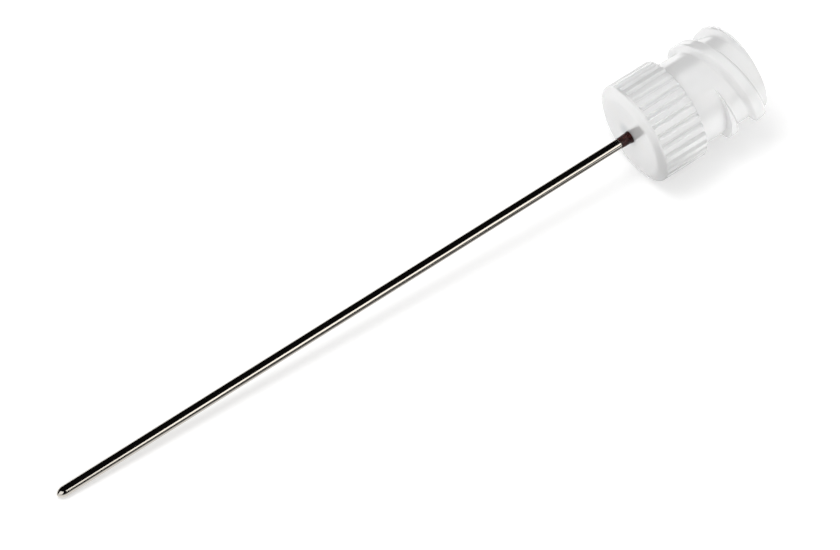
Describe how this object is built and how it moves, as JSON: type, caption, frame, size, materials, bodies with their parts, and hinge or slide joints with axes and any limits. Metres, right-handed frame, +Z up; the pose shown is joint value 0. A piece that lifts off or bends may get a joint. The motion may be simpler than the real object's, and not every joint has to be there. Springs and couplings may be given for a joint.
{
  "type": "medical needle",
  "caption": "Hollow steel needle with a closed rounded point, bonded into a fluted hub with a tapered socket and a double-start locking thread.",
  "frame": {"origin": "middle of the footprint of the needle as it lies at rest, on the surface it lies on", "axes": "+Z up. The needle's axis lies in the XZ plane with the point towards -X and the hub towards +X, and rises 4.05 degrees towards the hub."},
  "size_m": [0.0608, 0.008, 0.0084],
  "materials": {
    "stainless_steel": "polished",
    "clear_milky_plastic": "satin",
    "amber_adhesive": "gloss"
  },
  "bodies": {
    "root": {"cannula": "stainless_steel", "hub": "clear_milky_plastic", "adhesive_bond": "amber_adhesive"}
  },
  "joints": []
}
